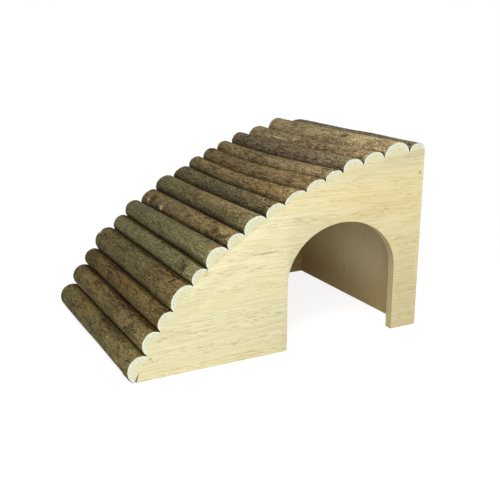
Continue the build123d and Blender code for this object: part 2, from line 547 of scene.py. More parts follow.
@dataclass(frozen=True)
class Veneer:
    """Sanded face of pale plywood.

    The figure says how strongly bands, lines and pores stand out.
    """

    name: str
    run: GrainRun
    pale: Colour
    warm: Colour
    streak: Colour
    figure: float
    light: Colour = colour(246, 243, 214)
    # Painted light on an upright board, above its foot and more towards the rear.
    painted_wall_light: Colour = colour(255, 243, 200)
    # Painted shade on the inner faces of the boards, inside the house.
    inner: Colour = colour(196, 166, 114)
    # Painted shade at the foot of a level board's pier, towards the closed end.
    painted_pier_shade: Colour = colour(205, 192, 147)
    pore: Colour = colour(170, 132, 78)
    tilt_deg: float = -0.4
    sway_mm: float = 3.0

    def bent(self, graph: NodeGraph) -> Socket:
        """Sways the coordinates slowly across the grain, as the tree grew.

        Args:
            graph: The material's nodes.

        Returns:
            The swaying coordinates, in millimetres.
        """
        level = self.run is GrainRun.LEVEL
        slow = (0.5, 1, 1) if level else (1, 1, 0.5)
        swirl = graph.drawn_out(slow, 0.02, 1)
        push = graph.add("CombineXYZ", {2 if level else 0: graph.swing(swirl, self.sway_mm)})
        return graph.vector("ADD", graph.place, push.outputs[0])

    def toned(self, graph: NodeGraph, drift: Socket) -> Socket:
        """The board's tone, before its figure.

        Args:
            graph: The material's nodes.
            drift: Slow noise that follows the grain.

        Returns:
            Wood that is warmer towards the closed end, but for the crown. A level board has painted
            shade at the foot of its pier and on its inner side. An upright one has painted shade at its
            foot and painted light above it, more so towards the rear.
        """
        along, across, above = graph.parts(graph.place)
        closed_end = graph.fade(along, -10, 60, 0, 0.75)
        closed_end = graph.math("MULTIPLY", closed_end, graph.fade(above, 117, 98, 0.1, 1))
        warmth = graph.math("ADD", closed_end, graph.fade(drift, 0.38, 0.7, 0, 0.4))
        base = graph.blend(warmth, self.pale, self.warm)
        low = graph.fade(above, 100, 0)
        if self.run is GrainRun.UPRIGHT:
            # Painted shade, darker towards the foot.
            base = graph.blend(low, base, self.streak)
            # Painted light above the foot, more of it towards the rear.
            rearward = graph.fade(across, -55, 15, 0.4, 1)
            wall_light_share = graph.math("MULTIPLY", graph.fade(above, 5, 45), rearward)
            return graph.blend(wall_light_share, base, self.painted_wall_light)
        # Painted shade at the foot of the pier.
        pier_shade_share = graph.math("MULTIPLY", graph.fade(along, 60, 95), low)
        base = graph.blend(pier_shade_share, base, self.painted_pier_shade)
        # Painted shade on the board's inner face.
        return graph.wash(base, self.inner, graph.math("ABSOLUTE", across), 71, 67, 0.8)

    def material(self) -> Material:
        """The material of the board's two faces.

        Returns:
            A material with drifting tone, long dark and light lines and short fine pores.
        """
        made = bpy.data.materials.new(self.name)
        graph = NodeGraph(made)
        bent = self.bent(graph)
        turn = (0, self.tilt_deg, 0)
        run = self.run.value
        grain = graph.stretched(bent, run, turn)
        slow = tuple(0.6 * stretch + 0.02 for stretch in run)
        drift = graph.noise(graph.stretched(bent, slow, turn), 0.12, 3)
        base = self.toned(graph, drift)
        bands = graph.noise(grain, 0.25, 2)
        base = graph.wash(base, self.streak, bands, 0.5, 0.72, 0.1 * self.figure)
        base = graph.wash(base, self.light, bands, 0.48, 0.3, 0.1 * self.figure)
        lines = graph.noise(grain, 2.2, 1)
        base = graph.wash(base, self.streak, lines, 0.53, 0.64, 0.42 * self.figure)
        base = graph.wash(base, self.light, lines, 0.47, 0.36, 0.2 * self.figure)
        short = tuple(stretch if stretch == 1 else 2.8 * stretch for stretch in run)
        pores = graph.noise(graph.stretched(bent, short, turn), 2.8, 1)
        where = graph.fade(graph.noise(grain, 0.16, 2), 0.42, 0.58, 0.25, 1)
        dashes = graph.fade(pores, 0.59, 0.68, 0, 0.5 * self.figure)
        dashes = graph.math("MULTIPLY", dashes, where)
        base = graph.blend(dashes, base, self.pore)
        height = graph.math("SUBTRACT", graph.math("MULTIPLY", lines, 0.7), dashes)
        graph.surface(base, 0.62, height, 0.06, Specular_IOR_Level=0.3)
        return made


@dataclass(frozen=True)
class PlyEdge:
    """Sawn edge of a plywood board, where its plies show as lines."""

    name: str
    axis: int
    first_face_mm: float
    ply_mm: float = 1.2
    wave_mm: float = 0.35
    pale: Colour = colour(210, 198, 152)
    dark: Colour = colour(190, 176, 131)
    glue: Colour = colour(132, 112, 76)

    def material(self) -> Material:
        """The material of the board's sawn edges.

        Returns:
            A material with plies that turn dark and pale by turns, and thin glue lines.
        """
        made = bpy.data.materials.new(self.name)
        graph = NodeGraph(made)
        wave = graph.swing(graph.noise(graph.place, 0.12, 2), self.wave_mm)
        depth = graph.math("SUBTRACT", graph.parts(graph.place)[self.axis], self.first_face_mm)
        plies = graph.math("DIVIDE", graph.math("ADD", depth, wave), self.ply_mm)
        pair = graph.math("FRACT", graph.math("MULTIPLY", plies, 0.5))
        inner = graph.fade(graph.math("PINGPONG", pair, 0.5), 0.22, 0.28)
        base = graph.blend(inner, self.pale, self.dark)
        from_glue_line = graph.math("PINGPONG", plies, 0.5)
        base = graph.wash(base, self.glue, from_glue_line, 0.09, 0.0, 0.25)
        fibres = graph.noise(graph.place, 1.3, 5)
        base = graph.wash(base, self.glue, fibres, 0.5, 0.75, 0.5)
        base = graph.wash(base, self.pale, fibres, 0.5, 0.3, 0.5)
        height = graph.math("SUBTRACT", fibres, graph.math("MULTIPLY", inner, 0.4))
        graph.surface(base, 0.85, height, 0.12, Specular_IOR_Level=0.2)
        return made


@dataclass(frozen=True)
class Steel:
    """Bright drawn wire of the brads."""

    bright: Colour = colour(186, 186, 184)
    dull: Colour = colour(150, 149, 146)

    def material(self) -> Material:
        """The brads' material.

        Returns:
            A material with draw marks along the wire, duller and rougher than the rest.
        """
        made = bpy.data.materials.new("brad_steel")
        graph = NodeGraph(made)
        marks = graph.drawn_out((6, 0.4, 6), 1.0, 3)
        base = graph.wash(self.bright, self.dull, marks, 0.4, 0.65)
        roughness = graph.fade(marks, 0.3, 0.7, 0.28, 0.5)
        graph.surface(base, roughness, marks, 0.02, Metallic=1.0)
        return made


@dataclass(frozen=True)
class Filler:
    """Wood filler rubbed into the holes over the brads, darkest near the roof."""

    pale: Colour = colour(224, 209, 160)
    grain: Colour = colour(206, 189, 140)
    dark: Colour = colour(186, 158, 112)

    def material(self) -> Material:
        """The filler's material.

        Returns:
            A grainy material, nearly of the veneer's colour.
        """
        made = bpy.data.materials.new("brad_filler")
        graph = NodeGraph(made)
        grains = graph.noise(graph.place, 4.0, 4)
        base = graph.wash(self.pale, self.grain, grains, 0.35, 0.7)
        base = graph.wash(base, self.dark, graph.parts(graph.place)[2], 80, 95, 0.8)
        graph.surface(base, 0.8, grains, 0.05, Specular_IOR_Level=0.2)
        return made


# ---------------------------------------------------------------- marks in the bark
@dataclass
class Skin:
    """A rod's bark laid flat, and what is done to each of its vertices.

    The edge is soft noise that makes the outlines of marks ragged. The relief runs from -1 in a
    fissure to 1 on a plate. How far a vertex is knot, bare wood or crack runs from 0 to 1. The
    stain is a factor for each channel of the colour.
    """

    around_mm: np.ndarray
    along_mm: np.ndarray
    girth_mm: float
    length_mm: float
    edge: np.ndarray

    def __post_init__(self) -> None:
        """Starts as smooth bark without a mark."""
        shape = self.around_mm.shape
        self.relief = np.zeros(shape)
        self.lift_mm, self.knot, self.bare, self.crack = (np.zeros(shape) for _ in range(4))
        self.stain = np.ones((*shape, 3))

    def offset_from(self, mark: "Mark") -> tuple[np.ndarray, np.ndarray]:
        """How far round the bark and along the rod each vertex lies from a mark, in millimetres."""
        sideways = self.around_mm - mark.around * self.girth_mm
        return sideways, self.along_mm - mark.along * self.length_mm


@dataclass(frozen=True)
class Mark:
    """Something on the bark, at a share of the way along the rod and around it."""

    along: float
    around: float

    def leave_on(self, skin: Skin) -> None:
        """Works the mark into the bark of a rod."""
        raise NotImplementedError


@dataclass(frozen=True)
class Knot(Mark):
    """Where a twig grew: a low swelling with rings and a pit in it."""

    across_mm: float
    rise_mm: float
    drawn_out: float = 1.5
    pit_share: float = 0.32
    ring_share: float = 0.75

    def leave_on(self, skin: Skin) -> None:
        """Raises the swelling, opens the pit and darkens the ring between them.

        Args:
            skin: The rod's bark.
        """
        sideways, lengthways = skin.offset_from(self)
        reach = np.hypot(sideways, lengthways / self.drawn_out) / self.across_mm
        reach = reach * (1 + 0.15 * skin.edge)
        swell = np.exp(-(reach**2))
        pit = np.exp(-((reach / self.pit_share) ** 2))
        ring = np.exp(-(((reach - self.ring_share) / 0.16) ** 2))
        skin.lift_mm += self.rise_mm * (swell - 0.9 * pit + 0.16 * np.cos(9 * reach) * swell)
        skin.knot = np.maximum(skin.knot, np.clip(0.6 * swell + ring, 0, 1))
        # The pit also takes the painted shade of the cracks.
        skin.crack = np.maximum(skin.crack, pit)


@dataclass(frozen=True)
class BarePatch(Mark):
    """Where the bark is gone and the wood shows, with a ragged, rounded outline."""

    length_mm: float
    width_mm: float
    depth_mm: float = 0.45

    def leave_on(self, skin: Skin) -> None:
        """Takes the bark off.

        Args:
            skin: The rod's bark.
        """
        sideways, lengthways = skin.offset_from(self)
        apart = np.stack([sideways / self.width_mm, lengthways / self.length_mm])
        reach = 2 * (np.abs(apart) ** 3).sum(0) ** (1 / 3)
        inside = np.clip((1.15 + 0.6 * skin.edge - reach) / 0.3, 0, 1)
        skin.lift_mm -= self.depth_mm * inside
        skin.bare = np.maximum(skin.bare, inside)


@dataclass(frozen=True)
class Crack(Mark):
    """A short split in the bark, at an angle to the rod."""

    length_mm: float
    turn_deg: float
    width_mm: float = 0.7
    depth_mm: float = 0.7

    def leave_on(self, skin: Skin) -> None:
        """Opens the crack.

        Args:
            skin: The rod's bark.
        """
        sideways, lengthways = skin.offset_from(self)
        turn = radians(self.turn_deg)
        run = sideways * np.sin(turn) + lengthways * np.cos(turn)
        off = sideways * np.cos(turn) - lengthways * np.sin(turn) + 0.4 * skin.edge
        inside = np.exp(-((off / self.width_mm) ** 2)) * (np.abs(run) * 2 < self.length_mm)
        skin.lift_mm -= self.depth_mm * inside
        skin.crack = np.maximum(skin.crack, inside)


@dataclass(frozen=True)
class Stain(Mark):
    """Where the bark is of another hue, fading out all round."""

    length_mm: float
    width_mm: float
    tint: Triple

    def leave_on(self, skin: Skin) -> None:
        """Changes the hue.

        Args:
            skin: The rod's bark.
        """
        sideways, lengthways = skin.offset_from(self)
        reach = 2 * np.hypot(sideways / self.width_mm, lengthways / self.length_mm)
        share = 1 - smooth_step((reach - 0.4 * skin.edge) / 1.2 - 0.3)
        skin.stain *= 1 + share[..., None] * (np.array(self.tint) - 1)


REDDISH = (1.06, 0.93, 0.87)
GREENISH = (0.94, 1.0, 0.98)
SOOTY = (0.6, 0.58, 0.53)


# ---------------------------------------------------------------- rods
@dataclass(frozen=True)
class RodForm:
    """The plain half-round of a rod, with a row for each place along it.

    A row's corners, middle and directions are given as x and z. The angle goes round the bark
    from 0 at the edge towards the crown to pi, a column for each place.
    """

    start_y: float
    length: float
    along: np.ndarray
    angle: np.ndarray
    toe_corner: np.ndarray
    crown_corner: np.ndarray
    height: np.ndarray

    @property
    def ys(self) -> np.ndarray:
        """Where each row lies along the house's depth."""
        return self.start_y + self.along * self.length

    @property
    def middle(self) -> np.ndarray:
        """Each row's pith, in the middle of the flat side."""
        return (self.toe_corner + self.crown_corner) / 2

    @property
    def half_width(self) -> np.ndarray:
        """Half of each row's flat side, as a column."""
        return np.linalg.norm(self.crown_corner - self.toe_corner, axis=-1)[:, None] / 2

    @property
    def across(self) -> np.ndarray:
        """How far each vertex lies from the pith towards the crown."""
        return self.half_width * np.cos(self.angle)

    @property
    def over(self) -> np.ndarray:
        """How far each vertex lies over the seat."""
        return self.height[:, None] * np.sin(self.angle)

    @property
    def outward(self) -> tuple[np.ndarray, np.ndarray]:
        """The bark's unit normal at each vertex: its share across and its share over the seat."""
        across = np.cos(self.angle) / self.half_width
        over = np.sin(self.angle) / self.height[:, None]
        return across / np.hypot(across, over), over / np.hypot(across, over)

    def turned(self, across: np.ndarray, over: np.ndarray) -> np.ndarray:
        """Turns offsets from the pith into the frame.

        Args:
            across: How far towards the crown.
            over: How far over the seat.

        Returns:
            The same offsets as x and z.
        """
        seat = (self.crown_corner - self.toe_corner) / (2 * self.half_width)
        up = np.stack([-seat[:, 1], seat[:, 0]], -1)
        return seat[:, None] * across[..., None] + up[:, None] * over[..., None]


class RodFinish(IntEnum):
    """The finishes of a rod, by the material numbers of its mesh."""

    BARK = 0
    END_GRAIN = 1
    SPLIT_FACE = 2


@dataclass(frozen=True)
class SplitRod:
    """One half-round rod of the roof.

    Places on it are given as along, from 0 at the doorway side to 1 at the rear, and around,
    from 0 at the edge towards the crown to 1 at the edge towards the floor. The waver is how far
    its line strays to either side. The shade side is how much painted shade darkens it towards
    the floor, and the lee how much painted shade darkens the side that looks towards the closed end.
    """

    number: int
    bark: Bark
    fissures_mm: float = 0.2
    waver_mm: float = 0.45
    marks: tuple[Mark, ...] = ()
    tint: Triple = (1.0, 1.0, 1.0)
    # Painted shade: how much the bark is darkened towards the floor.
    painted_floor_side_shade: float = 0.0
    # Painted shade: how much the side that looks towards the closed end is darkened.
    painted_lee_shade: float = 0.5
    rows: int = 190
    columns: int = 46
    swell_mm: Triple = (60, 26, 60)
    plate_mm: Triple = (1.6, 9, 1.6)
    grit_mm: Triple = (1.1, 1.6, 1.1)
    edge_mm: Triple = (1.3, 2.2, 1)
    edge_seed: int = 900
    fissure_share: float = 0.09
    usual_fissures_mm: float = 0.22
    waver_every_mm: float = 34
    end_wear_mm: float = 0.25
    end_wear_run_mm: float = 0.5
    seat_spread_mm: float = 0.15
    # Painted light: how much brighter the bark is towards the doorway side, and how far along that
    # fades.
    painted_front_light: float = 0.6
    painted_front_light_run: float = 0.22
    # Dirt and painted shade beside the joint on the floor side: the factor left at the edge.
    joint_dirt_and_shade: float = 0.36
    # The painted shade on the side that looks towards the closed end: its loss in each channel, the
    # angle from which it fades, the span of the fade, and how ragged its edge is.
    painted_lee_shade_loss: Triple = (0.52, 0.60, 0.78)
    painted_lee_shade_from_deg: float = 88
    painted_lee_shade_fades_deg: float = 18
    painted_lee_shade_ragged_deg: float = 12

    @property
    def node(self) -> str:
        """Name of the CAD node that the rod stands for."""
        return f"rod_{self.number:02d}"

    @staticmethod
    def measured(cad: Mesh) -> np.ndarray:
        """Measures the half-round sections of a rod in the frame.

        Args:
            cad: The rod's mesh.

        Returns:
            For each section its y, the x and z of its corner towards the floor, those of its
            corner towards the crown, and its height over the seat.
        """
        decimals = 5
        same_section = 2e-5
        fewest_points = 8
        points = np.array([vertex.co for vertex in cad.vertices])
        found = []
        for station in np.unique(np.round(points[:, 1], decimals)):
            ring = points[np.abs(points[:, 1] - station) < same_section][:, [0, 2]]
            if len(ring) < fewest_points:
                continue
            apart = np.linalg.norm(ring[:, None] - ring[None], axis=-1)
            corners = ring[list(np.unravel_index(apart.argmax(), apart.shape))]
            corners = corners[corners[:, 0].argsort()]
            seat = (corners[1] - corners[0]) / np.linalg.norm(corners[1] - corners[0])
            height = ((ring - corners[0]) @ np.array([-seat[1], seat[0]])).max()
            found.append([station, *corners[0], *corners[1], height])
        return np.array(found)

    def form(self, cad: Mesh, is_last: bool) -> RodForm:
        """Spreads the frame's sections along the rod, and widens it towards its neighbours.

        Args:
            cad: The rod's mesh in the frame.
            is_last: Whether the rod is the one at the closed end.

        Returns:
            The rod's plain form.
        """
        ys = [vertex.co.y for vertex in cad.vertices]
        start_y, length = min(ys), max(ys) - min(ys)
        wear = self.end_wear_run_mm * MM / length
        along = np.concatenate([[0], np.linspace(wear, 1 - wear, self.rows - 1), [1]])
        stations, *sizes = self.measured(cad).T
        *sizes, height = (np.interp(start_y + along * length, stations, size) for size in sizes)
        toe_corner, crown_corner = np.stack(sizes[0:2], -1), np.stack(sizes[2:4], -1)
        seat = crown_corner - toe_corner
        spread = seat / np.linalg.norm(seat, axis=-1, keepdims=True) * self.seat_spread_mm * MM
        toe_corner = toe_corner - spread * (self.number > 1)
        crown_corner = crown_corner + spread * (not is_last)
        angle = np.linspace(0, pi, self.columns + 1)[None, :]
        return RodForm(start_y, length, along, angle, toe_corner, crown_corner, height)

    def skin(self, form: RodForm) -> Skin:
        """Lays the bark flat and puts the marks and the fissures into it.

        Args:
            form: The rod's plain form.

        Returns:
            The rod's bark.
        """
        across, over = form.across, form.over
        along_mm = np.broadcast_to((form.along * form.length / MM)[:, None], across.shape)
        girth_mm = float(np.hypot(np.diff(across[0]), np.diff(over[0])).sum() / MM)
        around_mm = form.angle / pi * girth_mm + 0 * along_mm
        flat = np.stack([around_mm, along_mm, 0 * along_mm], -1)
        edge = Relief(self.edge_seed + self.number).rough(flat / self.edge_mm)
        skin = Skin(around_mm, along_mm, girth_mm, form.length / MM, edge)
        for mark in self.marks:
            mark.leave_on(skin)
        self.roughen(form, skin)
        return skin

    def roughen(self, form: RodForm, skin: Skin) -> None:
        """Gives the bark its slow swells, its plates with fissures between them, and its grit.

        Args:
            form: The rod's plain form.
            skin: Its bark, with the marks on it.
        """
        relief = Relief(self.number)
        local = np.stack([form.across / MM, skin.along_mm, form.over / MM], -1)
        # The shifts keep the plates and the grit from following the swells.
        swell = relief.rough(local / self.swell_mm, 2)
        plates = relief.rough(local / self.plate_mm + 5, 3)
        grit = relief.rough(local / self.grit_mm + 9, 2)
        furrows = 1 - 2 * np.exp(-((plates / self.fissure_share) ** 2))
        skin.relief = np.clip(0.6 * furrows + 0.55 * grit, -1, 1) * (1 - skin.bare)
        rise_mm = 0.32 * (swell - 0.6) + self.fissures_mm * (skin.relief - 0.8)
        skin.lift_mm = skin.lift_mm + rise_mm * np.sin(form.angle) ** 0.6
        skin.lift_mm[[0, -1]] -= self.end_wear_mm

    def raised(self, form: RodForm, skin: Skin) -> tuple[np.ndarray, np.ndarray]:
        """Where the bark's vertices lie once the skin is on the form.

        Args:
            form: The rod's plain form.
            skin: Its bark.

        Returns:
            How far each one lies from the pith towards the crown, and over the seat.
        """
        wander = np.zeros((*skin.along_mm.shape, 3))
        wander[..., 0] = skin.along_mm / self.waver_every_mm
        waver = Relief(self.number).soft(wander + 3) * np.sin(form.angle) ** 2
        lift = skin.lift_mm * MM
        out_across, out_over = form.outward
        across = form.across + lift * out_across + self.waver_mm * MM * waver
        return across, np.maximum(form.over + lift * out_over, 0)

    def tones_with_painted_light(self, form: RodForm, skin: Skin) -> np.ndarray:
        """How light the bark is.

        It is brightened by painted light towards the doorway side, darkened by dirt and painted shade
        beside the joint on the floor side and by painted shade towards the floor, and dark and warm
        with painted shade on the side that looks towards the closed end.

        Args:
            form: The rod's plain form.
            skin: Its bark.

        Returns:
            Red, green and blue factors for each vertex of the bark.
        """
        # Painted light, brighter towards the doorway side.
        front_lit = 1 + self.painted_front_light * np.exp(-form.along[:, None] / self.painted_front_light_run)
        # Dirt and painted shade beside the joint on the floor side.
        rise = smooth_step((np.sin(form.angle) - 0.05) / 0.6) + (form.angle < pi / 2)
        joint_dirt_and_shade_factor = self.joint_dirt_and_shade + (1 - self.joint_dirt_and_shade) * np.clip(rise, 0, 1)
        # Painted shade towards the floor side.
        floor_side_share = np.clip((form.angle / pi - 0.42) / 0.4, 0, 1)
        light = front_lit * joint_dirt_and_shade_factor * (1 - self.painted_floor_side_shade * floor_side_share)
        # Painted shade, dark and warm, on the side that looks towards the closed end.
        outward = form.turned(*form.outward)
        looks_deg = np.degrees(np.arctan2(outward[..., 1], outward[..., 0])) % 360
        looks_deg = looks_deg + self.painted_lee_shade_ragged_deg * skin.relief
        out_of_painted_lee_shade = smooth_step((looks_deg - self.painted_lee_shade_from_deg) / self.painted_lee_shade_fades_deg)
        loss = 1 - self.painted_lee_shade * (1 - out_of_painted_lee_shade)[..., None] * np.array(self.painted_lee_shade_loss)
        return light[..., None] * np.clip(loss, 0.05, 1) * np.array(self.tint) * skin.stain

    def faces(self) -> tuple[list[tuple[int, ...]], list[RodFinish]]:
        """Faces round the rod and over its two ends.

        Returns:
            The vertices of each face, by row with the pith after the bark, and its finish.
        """
        wide = self.columns + 2
        pith = self.columns + 1
        faces, numbers = [], []
        for first in range(0, self.rows * wide, wide):
            second = first + wide
            for column in range(wide):
                following = (column + 1) % wide
                corners = (first + column, second + column, second + following, first + following)
                faces.append(corners)
                numbers.append(RodFinish.BARK if column < self.columns else RodFinish.SPLIT_FACE)
        for first, order in ((0, 1), (self.rows * wide, -1)):
            for corner in range(first, first + self.columns):
                faces.append((first + pith, corner, corner + 1)[::order])
                numbers.append(RodFinish.END_GRAIN)
        return faces, numbers

    @staticmethod
    def note(mesh: Mesh, name: str, values: np.ndarray) -> None:
        """Notes a value at each vertex of a rod for its finishes, and 0 at the pith.

        Args:
            mesh: The rod's mesh.
            name: The value's name.
            values: One number or three for each row and column of the bark.
        """
        values = np.concatenate([values, np.zeros_like(values[:, :1])], 1)
        kind, field = ("FLOAT", "value") if values.ndim == 2 else ("FLOAT_VECTOR", "vector")
        layer = mesh.attributes.new(name, kind, "POINT")
        layer.data.foreach_set(field, values.ravel().astype(np.float32))

    def build(self, cad: Mesh, finishes: dict[str, Material], is_last: bool) -> Piece:
        """Makes the rod: a bark side, a flat side and two sawn ends, closed all round.

        Args:
            cad: The rod's mesh in the frame.
            finishes: The materials by name.
            is_last: Whether the rod is the one at the closed end.

        Returns:
            The piece.
        """
        form = self.form(cad, is_last)
        skin = self.skin(form)
        across, over = self.raised(form, skin)
        low, high = (np.array([corner.x, corner.z]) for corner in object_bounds())
        rim = np.clip(form.middle[:, None] + form.turned(across, over), low, high)
        flat = np.concatenate([rim, form.middle[:, None]], 1)
        ys = np.broadcast_to(form.ys[:, None], flat.shape[:2])
        points = np.stack([flat[..., 0], ys, flat[..., 1]], -1).reshape(-1, 3)

        faces, numbers = self.faces()
        mesh = bpy.data.meshes.new(self.node + "_bark")
        mesh.from_pydata(points.tolist(), [], faces)
        mesh.polygons.foreach_set("material_index", numbers)
        mesh.polygons.foreach_set("use_smooth", [number == RodFinish.BARK for number in numbers])
        mesh.update()
        seen = np.clip(skin.relief * self.fissures_mm / self.usual_fissures_mm, -1, 1)
        self.note(mesh, "relief", seen)
        self.note(mesh, "bare", skin.bare)
        self.note(mesh, "knot", skin.knot)
        # Where painted shade darkens cracks and knot pits.
        self.note(mesh, "painted_crack_shade", skin.crack)
        self.note(mesh, "girth", np.ones_like(across))
        self.note(mesh, "from_pith", np.stack([across, over, 0 * over], -1) / MM)
        # Notes the tone with its painted light and painted shade.
        self.note(mesh, "tone_and_painted_light", self.tones_with_painted_light(form, skin))
        materials = [finishes[name] for name in (self.bark.name, "end_grain", "split_face")]
        return new_piece(self.node + "_bark", mesh, materials, self.bark.kind.value, self.node)


OLIVE = Bark(
    "bark_olive",
    BarkKind.OLIVE,
    ground=colour(104, 94, 62),
    shade=colour(66, 56, 32),
    worn=colour(128, 116, 80),
    bloom=colour(92, 88, 60),
)
MOSS = Bark(
    "bark_moss",
    BarkKind.OLIVE,
    ground=colour(102, 96, 66),
    shade=colour(66, 60, 37),
    worn=colour(126, 118, 86),
    bloom=colour(92, 92, 66),
    bloom_share=0.55,
)
BROWN = Bark(
    "bark_brown",
    BarkKind.BROWN,
    ground=colour(102, 86, 56),
    shade=colour(62, 49, 28),
    worn=colour(128, 109, 74),
    bloom=colour(96, 72, 44),
    bloom_share=0.2,
)
SLATE = Bark(
    "bark_slate",
    BarkKind.GREY,
    ground=colour(94, 83, 62),
    shade=colour(50, 42, 29),
    worn=colour(136, 124, 102),
    bloom=colour(82, 74, 58),
    bloom_share=0.45,
    mottle=0.55,
    roughness=0.9,
    fleck_gain=(2.0, 2.05, 2.2),
)
TAN = Bark(
    "bark_tan",
    BarkKind.TAN,
    ground=colour(118, 102, 68),
    shade=colour(76, 62, 36),
    worn=colour(150, 132, 94),
    bloom=colour(106, 88, 54),
)


@dataclass(frozen=True)
class Roof:
    """The row of split rods, from the foot of the slope to the closed end."""

    # A mark lists where it is along and around the rod, then its sizes as its class has them.
    rods: tuple[SplitRod, ...] = (
        # Besides its marks, a rod's values set how much painted shade darkens its side towards the
        # closed end and its side towards the floor.
        SplitRod(1, OLIVE, tint=(0.93, 0.91, 0.77), painted_lee_shade=0.75, marks=(
            Knot(0.44, 0.2, 2.2, 0.5),
            Knot(0.5, 0.16, 1.6, 0.5),
            Knot(0.37, 0.17, 1.5, 0.4),
            Knot(0.05, 0.93, 3.0, 0.7),
            Stain(0.7, 0.3, 50, 9, REDDISH),
            Stain(0.3, 0.2, 50, 5, SOOTY),
        )),
        SplitRod(2, BROWN, tint=(1.02, 1.14, 1.01), painted_lee_shade=1.2, marks=(
            Knot(0.685, 0.25, 3.4, 0.8),
            Knot(0.21, 0.3, 2.0, 0.4),
            # This pale bare strip beside the joint with rod 1 is partly bare wood, partly painted light
            # seen through that joint.
            BarePatch(0.87, 0.8, 38, 1.3, 0.1),
            Stain(0.68, 0.3, 26, 11, REDDISH),
            Stain(0.5, 0.75, 40, 9, GREENISH),
            Stain(0.25, 0.15, 60, 7, SOOTY),
        )),
        SplitRod(3, BROWN, tint=(0.81, 0.83, 0.65), painted_lee_shade=1.1, marks=(
            Stain(0.5, 0.35, 46, 10, REDDISH),
            Stain(0.3, 0.6, 24, 8, GREENISH),
            Stain(0.9, 0.5, 20, 12, SOOTY),
            Crack(0.62, 0.5, 7, 10, 0.5, 0.4),
        )),
        SplitRod(4, OLIVE, tint=(0.83, 0.79, 0.68), painted_lee_shade=1.15, marks=(
            Crack(0.095, 0.27, 9, 68, 0.8, 0.8),
            Crack(0.11, 0.17, 7, 12, 0.8, 0.8),
            BarePatch(0.12, 0.925, 32, 1.3, 0.05),
            BarePatch(0.99, 0.45, 3.5, 3),
            Stain(0.1, 0.35, 40, 14, REDDISH),
            Stain(0.5, 0.5, 60, 16, GREENISH),
        )),
        SplitRod(5, MOSS, tint=(1.15, 1.1, 0.99), painted_lee_shade=1.2, fissures_mm=0.12, marks=(
            Knot(0.1, 0.59, 2.2, 0.4),
            Stain(0.13, 0.55, 14, 9, SOOTY),
        )),
        SplitRod(6, MOSS, tint=(1.06, 0.99, 0.87), painted_lee_shade=0.35, fissures_mm=0.16, marks=(
            Crack(0.31, 0.95, 5, 70),
            Stain(0.02, 0.34, 12, 7, REDDISH),
            Stain(0.2, 0.85, 44, 5, SOOTY),
            Stain(0.6, 0.5, 70, 12, GREENISH),
        )),
        SplitRod(7, BROWN, tint=(1.22, 1.34, 1.36), painted_lee_shade=0.7, painted_floor_side_shade=0.25, marks=(
            Knot(0.145, 0.57, 2.6, 0.7),
            Knot(0.195, 0.8, 2.0, 0.5),
            BarePatch(0.73, 0.72, 6.0, 3.2, 0.35),
            BarePatch(0.91, 0.7, 4.5, 2.2, 0.35),
            Knot(0.86, 0.6, 3.4, 1.0),
            Stain(0.42, 0.86, 60, 5, (1.0, 0.82, 0.74)),
            Stain(0.75, 0.86, 30, 5, SOOTY),
            Stain(0.2, 0.4, 50, 8, (1.12, 1.1, 1.0)),
        )),
        SplitRod(8, OLIVE, tint=(1.25, 1.21, 1.18), painted_lee_shade=0.1, painted_floor_side_shade=0.5, fissures_mm=0.16, marks=(
            Stain(0.8, 0.6, 60, 12, GREENISH),
            Stain(0.3, 0.35, 60, 9, (1.14, 1.08, 1.0)),
        )),
        SplitRod(9, SLATE, tint=(0.97, 0.96, 0.74), painted_lee_shade=0.35, painted_floor_side_shade=0.45, fissures_mm=0.3, marks=(
            Stain(0.5, 0.4, 40, 9, GREENISH),
            Stain(0.1, 0.5, 40, 14, (1.02, 0.94, 0.92)),
        )),
        SplitRod(10, TAN, tint=(0.96, 0.96, 0.94), painted_lee_shade=0.75, painted_floor_side_shade=0.3, marks=(
            Stain(0.17, 0.58, 40, 9, (1.15, 1.05, 0.92)),
            Stain(0.65, 0.5, 30, 9, REDDISH),
        )),
        SplitRod(11, BROWN, tint=(1.4, 1.45, 1.47), painted_lee_shade=0.6, painted_floor_side_shade=0.2, waver_mm=0.9, marks=(
            Knot(0.955, 0.42, 3.0, 0.9),
        )),
        SplitRod(12, TAN, tint=(1.08, 1.1, 1.16), painted_lee_shade=0.35, waver_mm=0.9),
        SplitRod(13, SLATE, tint=(1.17, 1.09, 1.0), painted_lee_shade=0.1, painted_floor_side_shade=0.2, fissures_mm=0.32, marks=(
            Crack(0.885, 0.7, 6, 35, 0.4, 0.3),
        )),
        SplitRod(14, BROWN, tint=(1.59, 1.71, 2.06), painted_lee_shade=0.1, marks=(
            BarePatch(0.69, 0.7, 24, 0.8, 0.15),
            BarePatch(0.55, 0.62, 6, 0.7, 0.2),
        )),
        SplitRod(15, TAN, tint=(1.62, 1.75, 2.04), painted_lee_shade=0.0, fissures_mm=0.14, marks=(
            Knot(0.33, 0.62, 2.4, 0.3),
            Stain(0.25, 0.55, 34, 13, (1.12, 1.12, 1.12)),
        )),
        SplitRod(16, SLATE, tint=(1.19, 1.2, 1.12), painted_lee_shade=0.3),
    )

    def build(self, nodes: dict[str, Piece]) -> list[Piece]:
        """Makes every rod.

        Args:
            nodes: The frame's CAD nodes by name.

        Returns:
            The pieces, in the rods' order.
        """
        finishes = {bark.name: bark.material() for bark in (OLIVE, MOSS, BROWN, SLATE, TAN)}
        finishes |= {"end_grain": EndGrain().material(), "split_face": SplitFace().material()}
        last = self.rods[-1]
        return [rod.build(nodes[rod.node].data, finishes, rod is last) for rod in self.rods]


